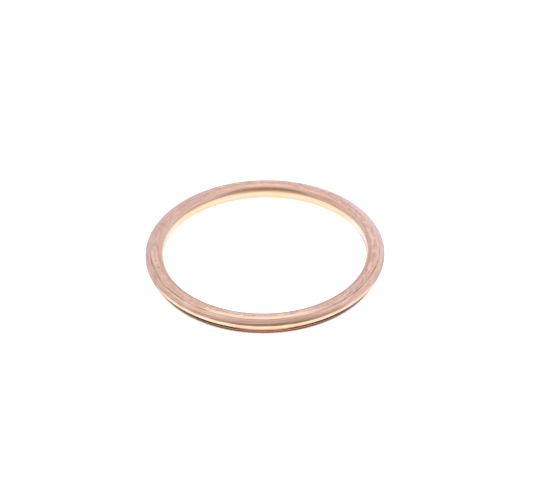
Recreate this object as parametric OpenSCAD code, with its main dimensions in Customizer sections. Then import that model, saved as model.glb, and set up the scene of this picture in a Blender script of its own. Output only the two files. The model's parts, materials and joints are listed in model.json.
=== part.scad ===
// Copper exhaust gasket: a hollow crush ring folded from one strip of soft sheet.
// The strip starts as a flat flange on the underside, turns up as the wall of the hole, turns
// out again as the top land, steps down at a pressed crease, and rolls over as the outer bead.
// Its free edge comes back down to the flange and leaves a fine open seam there.
// The section is drawn with x as the distance out from the wall of the hole, and y as the
// height above the underside. All lengths are in millimetres, and all angles in degrees.

/* [Ring] */
// Diameter of the hole, at its straight wall
hole_d = 45; // [30:0.5:80]
// Width of the ring from the wall of the hole to the widest circle of the bead
section_w = 4; // [3.6:0.1:6]
// Height from the underside to the top land
section_h = 4; // [3.6:0.1:6]
// Thickness of the sheet
sheet_t = 0.45; // [0.3:0.05:0.6]

/* [Wall of the hole] */
// Outside radius of the bend between the underside and the wall
base_bend_r = 1.9; // [1.2:0.1:2]
// Outside radius of the bend between the wall and the top land
top_bend_r = 1.6; // [1:0.1:1.7]

/* [Crown and crease] */
// Radius of the crown, where the top land starts to fall away
crown_r = 1.9; // [1.2:0.1:2.6]
// Angle by which the crown has fallen at the crease
crown_fall = 25; // [18:1:32]
// Distance of the crease inside the widest circle
crease_in = 1.11; // [1:0.01:1.2]
// Width of the step at the crease
crease_w = 0.08; // [0.04:0.01:0.14]
// Height of the step at the crease
crease_step = 0.127; // [0.06:0.001:0.16]

/* [Outer bead] */
// Depth of the widest circle below the top land
bead_drop = 1.5; // [1.35:0.05:1.8]
// Outside radius of the bead above its widest circle
bead_r = 1; // [0.8:0.05:1.15]
// Outside radius of the bead below its widest circle
hem_r = 0.8; // [0.65:0.05:1.1]
// Distance of the lowest point of the free edge inside the widest circle
foot_in = 1.56; // [1.25:0.01:1.8]
// Gap of the seam between the free edge and the flange
seam_gap = 0.08; // [0.05:0.01:0.2]

/* [Edges of the sheet] */
// Distance of the flange's lip inside the widest circle
lip_in = 1.3; // [0.9:0.05:1.5]
// Radius on the corners of both sheared edges
edge_r = 0.1; // [0.04:0.01:0.14]

/* [Hidden] */

// Largest sag of a chord below its arc in the section
arc_sag = 0.003;
// Facets of the preview round the ring
ring_fn = 240;

// Centres of the bends, each with its own outside radius above
base_centre = [base_bend_r, base_bend_r];
top_centre = [top_bend_r, section_h - top_bend_r];
bead_centre = [section_w - bead_r, section_h - bead_drop];
hem_centre = [section_w - hem_r, section_h - bead_drop];

// The crown ends at the near side of the crease
crown_end_x = section_w - crease_in - crease_w / 2;
crown_centre = [crown_end_x - crown_r * sin(crown_fall), section_h - crown_r];
crown_end = crown_centre + crown_r * direction(90 - crown_fall);

// The shoulder runs straight from the foot of the crease on to the bead
crease_foot = crown_end + [crease_w, -crease_step];
shoulder_angle = touch_angle(crease_foot, bead_centre, bead_r, 1);

// The flank runs straight from the bead down to the rounded corner of the free edge
foot_centre = [section_w - foot_in, sheet_t + seam_gap + edge_r];
flank_angle = touch_angle(foot_centre, hem_centre, hem_r - edge_r, -1);

// Between the rounded corners, each sheared edge is flat
edge_flat = sheet_t - 2 * edge_r;
lip_centre = [section_w - lip_in - edge_r, edge_r];

function direction(angle) = [cos(angle), sin(angle)];

// Points along an arc, from one angle to the other
function arc(centre, radius, from, to) =
    let (turn = 2 * acos(1 - arc_sag / radius))
    let (steps = ceil(abs(to - from) / turn))
    [for (k = [0 : steps]) centre + radius * direction(from + (to - from) * k / steps)];

// Angle at which a straight line from a point touches a circle.
// The side is 1 where the touch is clockwise of the point round the circle, else -1.
function touch_angle(point, centre, radius, side) =
    let (away = point - centre)
    atan2(away[1], away[0]) - side * acos(radius / norm(away));

function tail(list) = [for (k = [1 : len(list) - 1]) list[k]];

function reversed(list) = [for (k = [len(list) - 1 : -1 : 0]) list[k]];

// One face of the folded sheet, from the flange to the flank, at a depth below the outside
function skin(depth) = concat(
    arc(base_centre, base_bend_r - depth, 270, 180),
    arc(top_centre, top_bend_r - depth, 180, 90),
    arc(crown_centre, crown_r - depth, 90, 90 - crown_fall),
    [crease_foot - depth * direction(shoulder_angle)],
    arc(bead_centre, bead_r - depth, shoulder_angle, 0),
    tail(arc(hem_centre, hem_r - depth, 0, flank_angle))
);

// The free edge, at the end of the flank
function free_edge() = concat(
    arc(foot_centre, edge_r, flank_angle, flank_angle - 90),
    arc(foot_centre - edge_flat * direction(flank_angle), edge_r, flank_angle - 90, flank_angle - 180)
);

// The lip, at the end of the flange
function lip() = concat(
    arc(lip_centre + [0, edge_flat], edge_r, 90, 0),
    arc(lip_centre, edge_r, 0, -90)
);

module sheet_section() {
    polygon(concat(lip(), skin(0), free_edge(), reversed(skin(sheet_t))));
}

module gasket_ring() {
    color([0.87, 0.66, 0.57])
    rotate_extrude($fn = ring_fn)
    translate([hole_d / 2, 0])
    sheet_section();
}

gasket_ring();
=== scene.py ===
"""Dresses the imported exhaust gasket: a folded copper sheet, its worn finish, a pale studio and the camera."""
import json
import math
import bpy
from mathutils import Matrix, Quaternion, Vector


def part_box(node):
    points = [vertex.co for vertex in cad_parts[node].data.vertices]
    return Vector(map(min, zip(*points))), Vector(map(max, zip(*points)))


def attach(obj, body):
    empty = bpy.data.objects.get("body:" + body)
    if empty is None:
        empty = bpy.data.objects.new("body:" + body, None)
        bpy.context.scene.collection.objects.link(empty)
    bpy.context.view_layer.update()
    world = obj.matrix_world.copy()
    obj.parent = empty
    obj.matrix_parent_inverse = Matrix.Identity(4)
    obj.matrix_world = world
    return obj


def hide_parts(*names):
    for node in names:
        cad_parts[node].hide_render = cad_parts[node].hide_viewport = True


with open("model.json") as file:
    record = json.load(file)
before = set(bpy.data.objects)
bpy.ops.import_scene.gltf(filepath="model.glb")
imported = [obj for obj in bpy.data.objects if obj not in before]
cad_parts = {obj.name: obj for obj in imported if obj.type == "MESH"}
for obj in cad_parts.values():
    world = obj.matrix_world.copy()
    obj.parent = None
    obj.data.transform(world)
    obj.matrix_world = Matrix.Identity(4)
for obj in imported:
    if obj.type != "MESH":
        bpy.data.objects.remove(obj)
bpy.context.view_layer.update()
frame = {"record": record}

MM = 0.001
NODE = "gasket_ring"
BODY = "root"

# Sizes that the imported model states, in millimetres: its widest radius, its height, the radius of the hole,
# and the radius of the circle on which it stands
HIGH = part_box(NODE)[1]
MOUNTS = {mount["name"]: mount for mount in frame["record"]["mounts"]}
RIM_R = HIGH[0] / MM
HEIGHT = HIGH[2] / MM
BORE_R = MOUNTS["bore"]["dims"]["r_mm"]
FOOT_R = MOUNTS["bottom_land"]["pos_m"][0] / MM

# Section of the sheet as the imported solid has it, in millimetres and degrees
SHEET_T = 0.45
BASE_BEND_R = 1.9
TOP_BEND_R = 1.6
CROWN_R = 1.9
CROWN_FALL = 25
CREASE_W = 0.08
CREASE_STEP = 0.127
BEAD_R = 1.0
HEM_R = 0.8
SEAM_GAP = 0.08
EDGE_R = 0.1

# The bead's widest circle lies this far below the top
BEAD_DROP = 1.5

# The crease, the free edge and the lip lie this far inside the widest circle
CREASE_IN = 1.11
FOOT_IN = 1.56
LIP_IN = 1.3

# Fineness of the mesh: steps round the ring, then millimetres along the section
TURN_STEPS = 480
SKIN_STEP = 0.12
INNER_STEP = 0.35
CORNER_STEP = 0.05

# An extra point stands this far from each edge of the crease, in millimetres
CREASE_EDGE = 0.02

# Two points of the section that are nearer than this are one
SAME_POINT = 1e-6

# Angle in degrees from which an edge of the mesh is shaded as sharp
SHARP_FROM = 50

# Camera: where the photograph's frame holds the ring, in its own pixels
IMAGE_W, IMAGE_H = 533, 491
RING_X, RING_Y = 264.87, 251.13
PIXELS_PER_RIM = 119.51

# Camera: its angles in degrees, its distance in radii of the rim, the height that it aims at and the width of
# its sensor in millimetres, and the nearest that it sees in metres
CAMERA_EL = 37.57
CAMERA_ROLL = -0.976
CAMERA_FAR = 16.0
AIM_Z = 2.5
SENSOR = 36.0
CLIP_START = 0.001

# Grains of the finish: features per millimetre round the ring and along its section, a shift that sets
# each apart from the others, and levels of detail
GRAINS = {
    "mottle": (0.55, 1.1, 3.1, 3.0),
    "patch": (0.35, 0.5, 7.3, 3.0),
    "cloud": (0.09, 0.25, 11.7, 2.0),
    "hatch": (2.0, 0.7, 23.5, 2.0),
    "lines": (0.14, 3.0, 37.9, 2.0),
}

# What the grains share: the radius on which they are wound, how far they lean, the way in which they are
# shifted, how rough their detail is, and their mean
GRAIN_R = (BORE_R + RIM_R) / 2
GRAIN_SKEW = 0.3
GRAIN_WAY = (1, 0.7, -1)
GRAIN_ROUGH = 0.5
GRAIN_MEAN = 0.5

# How far the land's inner edge wanders, and how far its outer edge comes in at the front, in millimetres
LAND_WANDER = 0.9
LAND_FRONT_CUT = 0.45

# Where that front starts and is full, measured by back, as in the zones
LAND_FRONT = (-0.8, -0.95)

# Middle of the painted highlight on the crown, in degrees from +x
CROWN_GLINT_ANGLE = 250

# Zones of the finish. Each is a product of fades: what a fade follows, where it starts and where it is full,
# and its least and most where they aren't 0 and 1. reach is the distance from the axis and z the height, in
# millimetres. right and back are the parts of the unit vector from the axis, and side is right without its
# sign. The grains go by their own names, and copper_place works out the rest.
ZONES = {
    "upper": (("z", 3.2, 3.5),),
    "under": (("z", 0.3, 0.05),),
    "land_band": (("strayed", 23.1, 23.7), ("outward", 25.36, 25.0)),
    "land_sand": (("patch", 0.35, 0.65),),
    "land_dark": (("mottle", 0.56, 0.36),),
    "land_light": (("mottle", 0.5, 0.66),),
    # Painted shade on the land's inner band, at the back only
    "back_land_shade": (("back", 0.5, 0.85), ("reach", 23.45, 23.7), ("reach", 24.5, 24.2)),
    "bare_sand": (("cloud", 0.3, 0.7),),
    "rim": (("reach", 25.3, 25.5), ("z", 1.9, 2.6)),
    "rim_light": (("mottle", 0.35, 0.65),),
    # Where the painted highlights lie on the sides of the bore and on the front of the crown
    "bore_side": (("side", 0.75, 0.95), ("reach", 23.4, 23.0)),
    "bore_right": (("right", 0.8, 0.97), ("reach", 22.8, 22.55)),
    "crown": (("back", *LAND_FRONT), ("reach", 24.3, 24.7), ("reach", 25.7, 25.4), ("z", 3.0, 3.2)),
    # Painted shade on the land's inner edge at the front, a painted pink highlight on the far outer rim, and a
    # painted highlight on the crown (pale)
    "near_edge": (("back", 0.1, -0.3), ("reach", 23.8, 23.6), ("z", 2.8, 3.2)),
    "far_edge": (("back", -0.4, -0.05), ("reach", 24.7, 25.0), ("z", 1.8, 2.6),
                 ("reach", 26.1, 25.8, 0.55, 0.85), ("side", 0.98, 0.85, 0.55, 1.0)),
    "pale": (("near_crown_glint", 0.965, 0.995), ("reach", 24.95, 25.1), ("reach", 25.85, 25.6)),
    "dull": (("z", 2.0, 3.2), ("reach", 25.5, 25.2, 0.4, 1.0)),
    "hatch_dark": (("hatch", 0.55, 0.72),),
    "hatch_light": (("hatch", 0.42, 0.3),),
    "hatch_rough": (("hatch", 0.45, 0.75),),
    "lines_dark": (("lines", 0.52, 0.68),),
    "lines_light": (("lines", 0.45, 0.3),),
    # The crease's dark line is painted shade, at the front sides only; the same zone also sinks the crease in
    # the relief
    "crease": (("off_crease", 0.21, 0.05), ("z", 3.0, 3.4), ("side", 0.3, 0.6), ("back", 0.15, -0.25),
               ("patch", 0.4, 0.6, 0.35, 1.0)),
    # Where the painted shade under the bead lies: the seam below the bead, and the lip
    "seam": (("z", 1.15, 0.55), ("reach", 24.3, 24.7)),
    "lip": (("z", 0.5, 0.3), ("reach", 24.9, 25.15)),
    # front and centre steer the painted shade in the seam and on the lip
    "front": (("back", -0.8, -0.97),),
    "centre": (("back", -0.965, -0.998),),
    "centre_flank": (("back", -0.965, -0.998), ("z", 1.9, 1.4), ("reach", 24.3, 24.7)),
    "nick_breaks": (("hatch", 0.35, 0.6),),
}

# Colours of the copper in linear light, and the coats that are laid over them: zone, strength and colour
BARE = (0.95, 0.61, 0.44)
BARE_COATS = (("bare_sand", 1.0, (0.96, 0.65, 0.49)),)
RIM = (0.88, 0.54, 0.43)
RIM_COATS = (("rim_light", 1.0, (0.98, 0.70, 0.56)),)
# Painted highlights: a lighter bore wall at the sides, lightest on the right, and a creamier crown at the front
BORE_AND_CROWN_HIGHLIGHT_COATS = (
    ("bore_side", 1.0, (0.97, 0.76, 0.65)),
    ("bore_right", 1.0, (1.0, 0.88, 0.82)),
    ("crown", 0.7, (0.97, 0.74, 0.61)),
)
LAND = (0.86, 0.53, 0.48)
LAND_COATS = (
    ("land_sand", 1.0, (0.93, 0.665, 0.49)),
    ("land_dark", 0.8, (0.66, 0.42, 0.37)),
    ("land_light", 0.6, (0.98, 0.68, 0.6)),
    # Painted shade on the land's inner band at the back
    ("back_land_shade", 0.5, (0.62, 0.4, 0.39)),
)
# Painted shade on the near inner edge, and painted highlights on the far rim and on the crown at the front left
EDGE_SHADE_AND_HIGHLIGHT_COATS = (
    ("near_edge", 0.75, (0.65, 0.45, 0.35)),
    ("far_edge", 1.0, (1.0, 0.78, 0.765)),
    ("pale", 0.85, (1.0, 0.8, 0.66)),
)
# Scuffs and hatch, which are wear, then the crease's painted shade
WEAR_AND_CREASE_SHADE_COATS = (
    ("land_hatch_dark", 0.42, (0.58, 0.34, 0.31)),
    ("land_hatch_light", 0.38, (0.95, 0.72, 0.62)),
    ("lines_dark", 0.52, (0.58, 0.35, 0.29)),
    ("lines_light", 0.5, (0.97, 0.75, 0.62)),
    ("crease", 0.75, (0.42, 0.25, 0.21)),
)
# Painted shade under the bead, in the seam: dark round most of the ring, near bare copper at the front
SEAM_SHADE = (0.35, 0.24, 0.2)
SEAM_SHADE_COATS = (("front", 1.0, (0.96, 0.68, 0.54)),)
# Painted shade on the lip below the bead: darkest at the front sides, lit orange in the front centre
LIP_SHADE = (0.22, 0.125, 0.1)
LIP_SHADE_COATS = (
    ("front", 1.0, (0.17, 0.068, 0.05)),
    ("centre", 1.0, (0.34, 0.125, 0.08)),
)
NICK_COATS = (("nicks", 0.38, (0.33, 0.22, 0.22)),)

# Tint of what the metal mirrors at a grazing angle
GRAZING_TINT = (0.82, 0.76, 0.72)

# Duller stretches of the top: angle from +x and half width in degrees, and strength
DULL = (0.66, 0.44, 0.37)
DULL_PATCHES = (
    (148, 50, 0.42),
    (314, 28, 0.5),
    (20, 60, 0.1),
    (210, 23, 0.45),
)

# Painted dark reflection on the bead, in stretches at the front: angle from +x and half width in degrees, least
# distance from the axis and least height in millimetres, and strength
RIM_DARK_REFLECTION = (0.55, 0.33, 0.225)
RIM_DARK_REFLECTION_PATCHES = (
    (273, 26, 25.2, 3.1, 0.85),
    (296, 18, 25.7, 2.9, 0.9),
    (245, 18, 25.2, 3.2, 0.4),
)

# A patch of painted dark reflection fades in over the first of these outward, and over the second below and
# above its least height
RIM_DARK_REFLECTION_FADE_OUT = 0.6
RIM_DARK_REFLECTION_FADE_UP = 0.1

# A patch is full over its half width divided by this, to either side of its middle
PATCH_CORE = 3

# Nicks on the land: angle from +x in degrees, and distance from the axis and size in millimetres
NICKS = (
    (52, 24.6, 0.7),
    (57, 24.4, 0.4),
    (120, 24.8, 0.6),
    (159, 24.4, 0.45),
    (191, 24.6, 0.5),
    (197, 24.4, 0.55),
    (282, 23.7, 0.4),
    (319, 24.5, 0.5),
    (319.5, 24.0, 0.4),
)

# Part of a nick's size over which it is full
NICK_CORE = 0.3

# Roughness of the bare metal and of the land, and what the mottle, the hatch and the front flank add
BARE_ROUGH = 0.21
LAND_ROUGH = 0.4
MOTTLE_ROUGH = 0.06
HATCH_ROUGH = 0.08
FLANK_ROUGH = 0.35

# Relief: its unit in millimetres, and how far each mark rises or sinks in such units
RELIEF = 0.012
MOTTLE_RISE = 0.5
LINES_RISE = 0.35
HATCH_RISE = 0.5
CREASE_RISE = -2.0
NICK_RISE = -2.0

# Floor: half its width in metres, the paper's colour, the light that it gives the camera, and the light that
# the ring mirrors in the pools and away from them
FLOOR_HALF = 3.0
PAPER = (0.6, 0.6, 0.6)
PAGE = (1, 1, 1)
POOL_NEAR = (1, 1, 0.88)
POOL_FAR = (0.85, 0.91, 1.12)

# Zones of the floor, made like those of the finish. x is to the right and y to the back, in millimetres from
# the centre of the ring, and off_foot is the distance from the circle on which it stands.
# front, hole and beyond are painted pools of light that only the ring's mirror sees
FLOOR_ZONES = {
    "front": (("y", -6, -14), ("reach", 24, 25.5), ("reach", 64, 30)),
    "inside": (("reach", 24.5, 23.2),),
    "hole": (("reach", 24.5, 23.2), ("reach", 13, 21), ("y", -10, 2), ("x", 21.5, 18.5, 0.45, 1.0)),
    "beyond": (("reach", 26, 28), ("y", -14, -6)),
    # Painted shadow in the ring's mirror: the floor is dimmer close round the foot
    "clear": (("off_foot", 0.4, 0.75, 0.4, 1.0),),
}

# Strength of the floor in the ring's mirror: away from the pools, and behind the ring
POOL_LEAST = 0.1
BEYOND_STRENGTH = 0.42

# Contact shadow: how far it reaches from the ring in millimetres, and how many rays find it
SHADOW_REACH = 0.75
SHADOW_RAYS = 8

# Studio: its plain sky, then the lobes laid over it in order. Each lobe has the way to its middle, the angles
# from there at which it has ended and at which it is full, its squeeze sideways, and its colour.
SKY = (0.79, 0.79, 0.84)
TOP_LEAN = math.radians(22)
NEAR_RISE = math.radians(17)
LOBES = (
    ((0, 1, 0), 34, 8, 1.0, (1.0, 1.02, 1.15)),
    ((-0.2, math.sin(TOP_LEAN), math.cos(TOP_LEAN)), 36, 14, 1.0, (1.15, 1.15, 1.1)),
    ((-0.25, 0.14, 0.96), 22, 8, 1.0, (1.05, 1.03, 0.98)),
    ((-0.03, -math.cos(NEAR_RISE), math.sin(NEAR_RISE)), 46, 16, 0.74, (0.36, 0.29, 0.24)),
)

# The low band of the sky on the camera's side: its colour, and its top above the horizon
LOW_BAND = (0.75, 0.72, 0.66)
LOW_BAND_TOP = math.radians(12)

# Zones of the sky, by the parts of the unit vector to it: x to the right, y to the back and z up. The second
# is the sky's strength, from left to right.
SKY_ZONES = {
    "low_band": (("z", math.sin(LOW_BAND_TOP), 0.0), ("y", -0.1, -0.5)),
    "strength": (("x", -0.8, 0.8, 0.9, 1.1),),
}


def direction(angle):
    """Unit vector at an angle in degrees."""
    return Vector((math.cos(math.radians(angle)), math.sin(math.radians(angle))))


def arc(centre, radius, start, end, step):
    """Points along an arc, about one step apart."""
    count = max(2, math.ceil(math.radians(abs(end - start)) * radius / step))
    return [centre + radius * direction(start + (end - start) * k / count) for k in range(count + 1)]


def straight(start, end, step):
    """Points between two others, without them, about one step apart."""
    count = max(1, math.ceil((end - start).length / step))
    return [start.lerp(end, k / count) for k in range(1, count)]


def touch_angle(point, centre, radius, side):
    """Angle at which a line from a point touches a circle. The side is 1 clockwise of the point, else -1."""
    away = point - centre
    return math.degrees(math.atan2(away.y, away.x) - side * math.acos(radius / away.length))


def joined(runs, step):
    """One list of points from several runs, with the straight gaps between them filled."""
    points = list(runs[0])
    for run in runs[1:]:
        points += straight(points[-1], run[0], step)
        points += run if (run[0] - points[-1]).length > SAME_POINT else run[1:]
    return points


def section():
    """Closed outline of the folded sheet: x from the wall of the hole, y from the underside."""
    width = RIM_R - BORE_R
    base = Vector((BASE_BEND_R, BASE_BEND_R))
    top = Vector((TOP_BEND_R, HEIGHT - TOP_BEND_R))
    bead = Vector((width - BEAD_R, HEIGHT - BEAD_DROP))
    hem = Vector((width - HEM_R, HEIGHT - BEAD_DROP))

    crown_end = 90 - CROWN_FALL
    crease_x = width - CREASE_IN - CREASE_W / 2
    crown = Vector((crease_x - CROWN_R * math.sin(math.radians(CROWN_FALL)), HEIGHT - CROWN_R))
    beside_crease = crown_end + math.degrees(CREASE_EDGE / CROWN_R)
    crease_foot = crown + CROWN_R * direction(crown_end) + Vector((CREASE_W, -CREASE_STEP))
    shoulder = touch_angle(crease_foot, bead, BEAD_R, 1)

    foot = Vector((width - FOOT_IN, SHEET_T + SEAM_GAP + EDGE_R))
    flank = touch_angle(foot, hem, HEM_R - EDGE_R, -1)
    lip = Vector((width - LIP_IN - EDGE_R, EDGE_R))
    flat = SHEET_T - 2 * EDGE_R

    def skin(depth, step):
        """One face of the sheet, from the flange to the flank, at a depth below the outside."""
        foot_here = crease_foot - depth * direction(shoulder)
        return joined([
            arc(base, BASE_BEND_R - depth, 270, 180, step),
            arc(top, TOP_BEND_R - depth, 180, 90, step),
            arc(crown, CROWN_R - depth, 90, beside_crease, step),
            [crown + (CROWN_R - depth) * direction(crown_end)],
            [foot_here, foot_here + CREASE_EDGE * direction(shoulder - 90)],
            arc(bead, BEAD_R - depth, shoulder, 0, step),
            arc(hem, HEM_R - depth, 0, flank, step)], step)

    outer = skin(0, SKIN_STEP)
    edge = joined([
        arc(foot, EDGE_R, flank, flank - 90, CORNER_STEP),
        arc(foot - flat * direction(flank), EDGE_R, flank - 90, flank - 180, CORNER_STEP)], SKIN_STEP)
    inner = skin(SHEET_T, INNER_STEP)[::-1]
    nose = joined([
        arc(lip + Vector((0, flat)), EDGE_R, 90, 0, CORNER_STEP),
        arc(lip, EDGE_R, 0, -90, CORNER_STEP)], SKIN_STEP)
    return joined([outer, edge, inner, nose], SKIN_STEP)


def ring_mesh():
    """The sheet's section revolved into a ring."""
    outline = section()
    count = len(outline)
    verts = []
    for turn in range(TURN_STEPS):
        around = direction(360 * turn / TURN_STEPS)
        for point in outline:
            reach = (BORE_R + point.x) * MM
            verts.append((reach * around.x, reach * around.y, point.y * MM))
    faces = []
    for turn in range(TURN_STEPS):
        here = turn * count
        after = (turn + 1) % TURN_STEPS * count
        for k in range(count):
            following = (k + 1) % count
            faces.append((here + following, here + k, after + k, after + following))
    mesh = bpy.data.meshes.new("copper_sheet")
    mesh.from_pydata(verts, [], faces)
    mesh.validate()
    mesh.shade_smooth()
    mesh.set_sharp_from_angle(angle=math.radians(SHARP_FROM))
    return mesh


class Nodes:
    """Adds shader nodes to one tree. All but add and feed give back an output."""

    def __init__(self, tree):
        self.tree = tree

    def add(self, kind, inputs=(), **settings):
        """Adds a node, with its settings, and its inputs by index or name."""
        made = self.tree.nodes.new(kind)
        for name, value in settings.items():
            setattr(made, name, value)
        for key, value in dict(inputs).items():
            self.feed(made.inputs[key], value)
        return made

    def feed(self, socket, value):
        """Links an output to a socket, or sets a constant there; a colour gets its alpha here."""
        if isinstance(value, bpy.types.NodeSocket):
            self.tree.links.new(value, socket)
        elif socket.type == "RGBA":
            socket.default_value = (*value, 1)
        else:
            socket.default_value = value

    def maths(self, operation, *values):
        """What a Math node makes of some values."""
        return self.add("ShaderNodeMath", dict(enumerate(values)), operation=operation).outputs[0]

    def product(self, value, *others):
        """Some values multiplied."""
        for other in others:
            value = self.maths("MULTIPLY", value, other)
        return value

    def total(self, value, *others):
        """Some values added."""
        for other in others:
            value = self.maths("ADD", value, other)
        return value

    def vector(self, operation, *values):
        """The vector that a Vector Math node makes of some values."""
        made = self.add("ShaderNodeVectorMath", dict(enumerate(values)), operation=operation)
        return made.outputs["Vector"]

    def measure(self, operation, *values):
        """The number that a Vector Math node makes of some values."""
        made = self.add("ShaderNodeVectorMath", dict(enumerate(values)), operation=operation)
        return made.outputs["Value"]

    def scaled(self, vector, factor):
        """A vector times a number."""
        inputs = {0: vector, "Scale": factor}
        return self.add("ShaderNodeVectorMath", inputs, operation="SCALE").outputs["Vector"]

    def split(self, vector):
        """The three parts of a vector."""
        return tuple(self.add("ShaderNodeSeparateXYZ", {0: vector}).outputs)

    def combined(self, x, y, z):
        """A vector from its three parts."""
        return self.add("ShaderNodeCombineXYZ", {0: x, 1: y, 2: z}).outputs[0]

    def fade(self, value, start, full):
        """0 before start and 1 after full, with a smooth change between them; start may be above full."""
        inputs = {"Value": value, "From Min": start, "From Max": full}
        return self.add("ShaderNodeMapRange", inputs, interpolation_type="SMOOTHSTEP").outputs["Result"]

    def spread(self, value, least, most):
        """A value of 0 to 1 stretched to run from the least to the most."""
        inputs = {"Value": value, "To Min": least, "To Max": most}
        return self.add("ShaderNodeMapRange", inputs).outputs["Result"]

    def blend(self, amount, first, second):
        """The first colour where the amount is 0 and the second where it is 1."""
        mix = self.add("ShaderNodeMix", {"Factor": amount}, data_type="RGBA")
        first_socket, second_socket = (socket for socket in mix.inputs if socket.type == "RGBA")
        self.feed(first_socket, first)
        self.feed(second_socket, second)
        return next(socket for socket in mix.outputs if socket.type == "RGBA")

    def zone(self, place, fades):
        """The product of a zone's fades."""
        values = []
        for name, start, full, *ends in fades:
            value = self.fade(place[name], start, full)
            values.append(self.spread(value, *ends) if ends else value)
        return self.product(*values)

    def coated(self, masks, colour, coats):
        """A colour with coats laid over it, in order."""
        for name, strength, tint in coats:
            colour = self.blend(self.product(masks[name], strength), colour, tint)
        return colour


def ring_place(nodes):
    """Where a point lies in millimetres, its distance from the axis, and the unit vector from the axis."""
    point = nodes.scaled(nodes.add("ShaderNodeTexCoord").outputs["Object"], 1 / MM)
    x, y, z = nodes.split(point)
    flat = nodes.combined(x, y, 0.0)
    return {"point": point, "x": x, "y": y, "z": z,
            "reach": nodes.measure("LENGTH", flat), "turn": nodes.vector("NORMALIZE", flat)}


def grain(nodes, place, around, along, shift, detail):
    """Noise with so many features per millimetre round the ring and along its section."""
    wound = nodes.scaled(place["turn"], GRAIN_R * around)
    rising = nodes.product(nodes.maths("ADD", place["reach"], place["z"]), along)
    falling = nodes.product(nodes.maths("SUBTRACT", place["reach"], place["z"]), along)
    lift = nodes.combined(falling, nodes.product(falling, GRAIN_SKEW), rising)
    spot = nodes.vector("ADD", wound, lift)
    spot = nodes.vector("ADD", spot, tuple(shift * part for part in GRAIN_WAY))
    inputs = {"Vector": spot, "Scale": 1.0, "Detail": detail, "Roughness": GRAIN_ROUGH}
    return nodes.add("ShaderNodeTexNoise", inputs).outputs["Fac"]


def toward(nodes, place, angle):
    """Cosine of the angle round the ring between a point and an angle from +x."""
    return nodes.measure("DOT_PRODUCT", place["turn"], (*direction(angle), 0))


def patch_mask(nodes, place, angle, half):
    """1 round an angle from +x, falling to 0 at the half width from it."""
    edge = math.cos(math.radians(half))
    core = math.cos(math.radians(half / PATCH_CORE))
    return nodes.fade(toward(nodes, place, angle), edge, core)


def nick_mask(nodes, place):
    """1 in the middle of each nick on the land."""
    marks = 0.0
    for angle, reach, size in NICKS:
        spot = (*(reach * direction(angle)), HEIGHT)
        away = nodes.measure("DISTANCE", place["point"], spot)
        marks = nodes.maths("MAXIMUM", marks, nodes.fade(away, size, NICK_CORE * size))
    return marks


def copper_place(nodes):
    """The place on the ring, with the grains and the measures that the zones follow."""
    place = ring_place(nodes)
    for name, values in GRAINS.items():
        place[name] = grain(nodes, place, *values)
    reach = place["reach"]
    place["right"], place["back"], _ = nodes.split(place["turn"])
    place["side"] = nodes.maths("ABSOLUTE", place["right"])
    wander = nodes.product(nodes.maths("SUBTRACT", place["cloud"], GRAIN_MEAN), LAND_WANDER)
    place["strayed"] = nodes.total(reach, wander)
    front = nodes.fade(place["back"], *LAND_FRONT)
    place["outward"] = nodes.total(reach, nodes.product(front, LAND_FRONT_CUT))
    crease_r = RIM_R - CREASE_IN - CREASE_W / 2
    place["off_crease"] = nodes.maths("ABSOLUTE", nodes.maths("SUBTRACT", reach, crease_r))
    place["near_crown_glint"] = toward(nodes, place, CROWN_GLINT_ANGLE)
    return place


def copper_masks(nodes, place):
    """Every zone of the finish, with those that are made from several."""
    masks = {name: nodes.zone(place, fades) for name, fades in ZONES.items()}
    lands = nodes.maths("MAXIMUM", masks["upper"], masks["under"])
    masks["land"] = nodes.product(lands, masks["land_band"])
    masks["land_hatch_dark"] = nodes.product(masks["land"], masks["hatch_dark"])
    masks["land_hatch_light"] = nodes.product(masks["land"], masks["hatch_light"])
    masks["nicks"] = nodes.product(nick_mask(nodes, place), masks["nick_breaks"])
    return masks


def copper_colour(nodes, place, masks):
    """The colour of the sheet: bare metal with painted highlights, the land over it, then painted highlights
    and shade on the edges, duller patches, painted dark reflections, scuffs, painted shade in the crease, under
    the bead and on the lip, and nicks.
    """
    bare = nodes.coated(masks, BARE, BARE_COATS)
    rim = nodes.coated(masks, RIM, RIM_COATS)
    colour = nodes.blend(masks["rim"], bare, rim)
    colour = nodes.coated(masks, colour, BORE_AND_CROWN_HIGHLIGHT_COATS)
    colour = nodes.blend(masks["land"], colour, nodes.coated(masks, LAND, LAND_COATS))
    colour = nodes.coated(masks, colour, EDGE_SHADE_AND_HIGHLIGHT_COATS)
    for angle, half, strength in DULL_PATCHES:
        over = nodes.product(patch_mask(nodes, place, angle, half), masks["dull"], strength)
        colour = nodes.blend(over, colour, DULL)
    # Painted dark reflection on the front of the bead
    for angle, half, reach, low, strength in RIM_DARK_REFLECTION_PATCHES:
        fades = (("reach", reach, reach + RIM_DARK_REFLECTION_FADE_OUT), ("z", low - RIM_DARK_REFLECTION_FADE_UP, low + RIM_DARK_REFLECTION_FADE_UP))
        here = nodes.product(masks["rim"], patch_mask(nodes, place, angle, half))
        over = nodes.product(here, nodes.zone(place, fades), strength)
        colour = nodes.blend(over, colour, RIM_DARK_REFLECTION)
    colour = nodes.coated(masks, colour, WEAR_AND_CREASE_SHADE_COATS)
    # Painted shade under the bead, in the seam and on the lip
    colour = nodes.blend(masks["seam"], colour, nodes.coated(masks, SEAM_SHADE, SEAM_SHADE_COATS))
    colour = nodes.blend(masks["lip"], colour, nodes.coated(masks, LIP_SHADE, LIP_SHADE_COATS))
    return nodes.coated(masks, colour, NICK_COATS)


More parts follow.
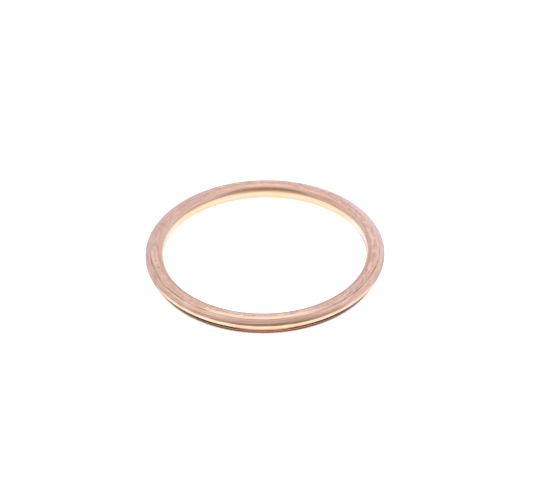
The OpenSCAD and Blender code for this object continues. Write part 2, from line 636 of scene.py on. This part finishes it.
def copper_roughness(nodes, place, masks):
    """Roughness of the sheet, which is polished on the bead and in the hole, and matte on the land."""
    return nodes.total(
        nodes.spread(masks["land"], BARE_ROUGH, LAND_ROUGH),
        nodes.spread(place["mottle"], -MOTTLE_ROUGH, MOTTLE_ROUGH),
        nodes.product(masks["hatch_rough"], HATCH_ROUGH),
        nodes.product(masks["centre_flank"], FLANK_ROUGH))


def copper_relief(nodes, place, masks):
    """The normal that the sheet's fine relief gives."""
    height = nodes.total(
        nodes.product(place["mottle"], MOTTLE_RISE),
        nodes.product(place["lines"], LINES_RISE),
        nodes.product(place["hatch"], masks["land"], HATCH_RISE),
        nodes.product(masks["crease"], CREASE_RISE),
        nodes.product(masks["nicks"], NICK_RISE))
    inputs = {"Height": height, "Strength": 1.0, "Distance": RELIEF * MM}
    return nodes.add("ShaderNodeBump", inputs).outputs[0]


def copper_material():
    """Soft copper: a matte scuffed land and a polished bead and bore, with painted highlights and reflections,
    and painted shade in the crease, under the bead and on the lip.
    """
    mat = bpy.data.materials.new("worn_copper")
    mat.use_nodes = True
    shader = mat.node_tree.nodes["Principled BSDF"]
    nodes = Nodes(mat.node_tree)
    place = copper_place(nodes)
    masks = copper_masks(nodes, place)
    nodes.feed(shader.inputs["Base Color"], copper_colour(nodes, place, masks))
    nodes.feed(shader.inputs["Roughness"], copper_roughness(nodes, place, masks))
    nodes.feed(shader.inputs["Normal"], copper_relief(nodes, place, masks))
    nodes.feed(shader.inputs["Metallic"], 1.0)
    nodes.feed(shader.inputs["Specular Tint"], GRAZING_TINT)
    return mat


def paper_material():
    """White paper, with a contact shadow for the camera; in the ring's mirror it shows painted pools of light
    and a painted shadow round the foot.
    """
    mat = bpy.data.materials.new("white_paper")
    mat.use_nodes = True
    nodes = Nodes(mat.node_tree)
    nodes.tree.nodes.clear()
    place = ring_place(nodes)
    place["off_foot"] = nodes.maths("ABSOLUTE", nodes.maths("SUBTRACT", place["reach"], FOOT_R))
    masks = {name: nodes.zone(place, fades) for name, fades in FLOOR_ZONES.items()}
    ray = nodes.add("ShaderNodeLightPath").outputs

    near_pools = nodes.maths("MAXIMUM", masks["front"], masks["hole"])
    far_pool = nodes.product(masks["beyond"], BEYOND_STRENGTH)
    pools = nodes.maths("MAXIMUM", nodes.spread(near_pools, POOL_LEAST, 1.0), far_pool)
    mirrored = nodes.product(ray["Is Glossy Ray"], pools, masks["clear"])
    tint = nodes.blend(near_pools, POOL_FAR, POOL_NEAR)
    lamp = nodes.add("ShaderNodeEmission", {"Color": tint, "Strength": mirrored}).outputs[0]

    inputs = {"Distance": SHADOW_REACH * MM}
    openness = nodes.add("ShaderNodeAmbientOcclusion", inputs, samples=SHADOW_RAYS).outputs["AO"]
    outside = nodes.product(ray["Is Camera Ray"], openness, openness)
    within = nodes.product(ray["Is Camera Ray"], masks["inside"])
    seen = nodes.maths("MAXIMUM", outside, within)
    page = nodes.add("ShaderNodeEmission", {"Color": PAGE, "Strength": seen}).outputs[0]

    paper = nodes.add("ShaderNodeBsdfDiffuse", {"Color": PAPER}).outputs[0]
    lights = nodes.add("ShaderNodeAddShader", {0: lamp, 1: page}).outputs[0]
    surface = nodes.add("ShaderNodeAddShader", {0: paper, 1: lights}).outputs[0]
    nodes.add("ShaderNodeOutputMaterial", {"Surface": surface})
    return mat


def floor():
    """The white paper that the ring lies on."""
    half = FLOOR_HALF
    corners = [(-half, -half, 0), (half, -half, 0), (half, half, 0), (-half, half, 0)]
    mesh = bpy.data.meshes.new("floor")
    mesh.from_pydata(corners, [], [(0, 1, 2, 3)])
    plane = bpy.data.objects.new("floor", mesh)
    bpy.context.scene.collection.objects.link(plane)
    mesh.materials.append(paper_material())


def studio():
    """The world: a pale sky with broad lights, and the dark side where the camera stands."""
    world = bpy.data.worlds.new("studio")
    bpy.context.scene.world = world
    world.use_nodes = True
    nodes = Nodes(world.node_tree)
    nodes.tree.nodes.clear()
    way = nodes.add("ShaderNodeTexCoord").outputs["Generated"]
    sky = SKY
    for middle, ends, full, squeeze, colour in LOBES:
        bent = nodes.vector("NORMALIZE", nodes.vector("MULTIPLY", way, (squeeze, 1, 1)))
        cosine = nodes.measure("DOT_PRODUCT", bent, middle)
        lobe = nodes.fade(cosine, math.cos(math.radians(ends)), math.cos(math.radians(full)))
        sky = nodes.blend(lobe, sky, colour)
    place = dict(zip("xyz", nodes.split(way)))
    sky = nodes.blend(nodes.zone(place, SKY_ZONES["low_band"]), sky, LOW_BAND)
    inputs = {"Color": sky, "Strength": nodes.zone(place, SKY_ZONES["strength"])}
    back = nodes.add("ShaderNodeBackground", inputs).outputs[0]
    nodes.add("ShaderNodeOutputWorld", {"Surface": back})


def camera():
    """The photograph's camera, as fitted to the ring's outlines there."""
    rim = RIM_R * MM
    rise = math.radians(CAMERA_EL)
    aim = Vector((0, 0, AIM_Z * MM))
    eye = aim + CAMERA_FAR * rim * Vector((0, -math.cos(rise), math.sin(rise)))
    data = bpy.data.cameras.new("camera")
    data.sensor_width = SENSOR
    data.lens = SENSOR * PIXELS_PER_RIM * CAMERA_FAR / IMAGE_W
    data.shift_x = (IMAGE_W / 2 - RING_X) / IMAGE_W
    data.shift_y = (RING_Y - IMAGE_H / 2) / IMAGE_W
    data.clip_start = CLIP_START
    made = bpy.data.objects.new("camera", data)
    bpy.context.scene.collection.objects.link(made)
    made.location = eye
    made.rotation_mode = "QUATERNION"
    roll = Quaternion((0, 0, 1), math.radians(CAMERA_ROLL))
    made.rotation_quaternion = (aim - eye).to_track_quat("-Z", "Y") @ roll
    bpy.context.scene.camera = made


def gasket():
    """The folded sheet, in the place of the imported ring."""
    mesh = ring_mesh()
    piece = bpy.data.objects.new("folded_sheet", mesh)
    bpy.context.scene.collection.objects.link(piece)
    mesh.materials.append(copper_material())
    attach(piece, BODY)
    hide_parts(NODE)


camera()
gasket()
floor()
studio()
bpy.context.scene.view_settings.view_transform = "Standard"
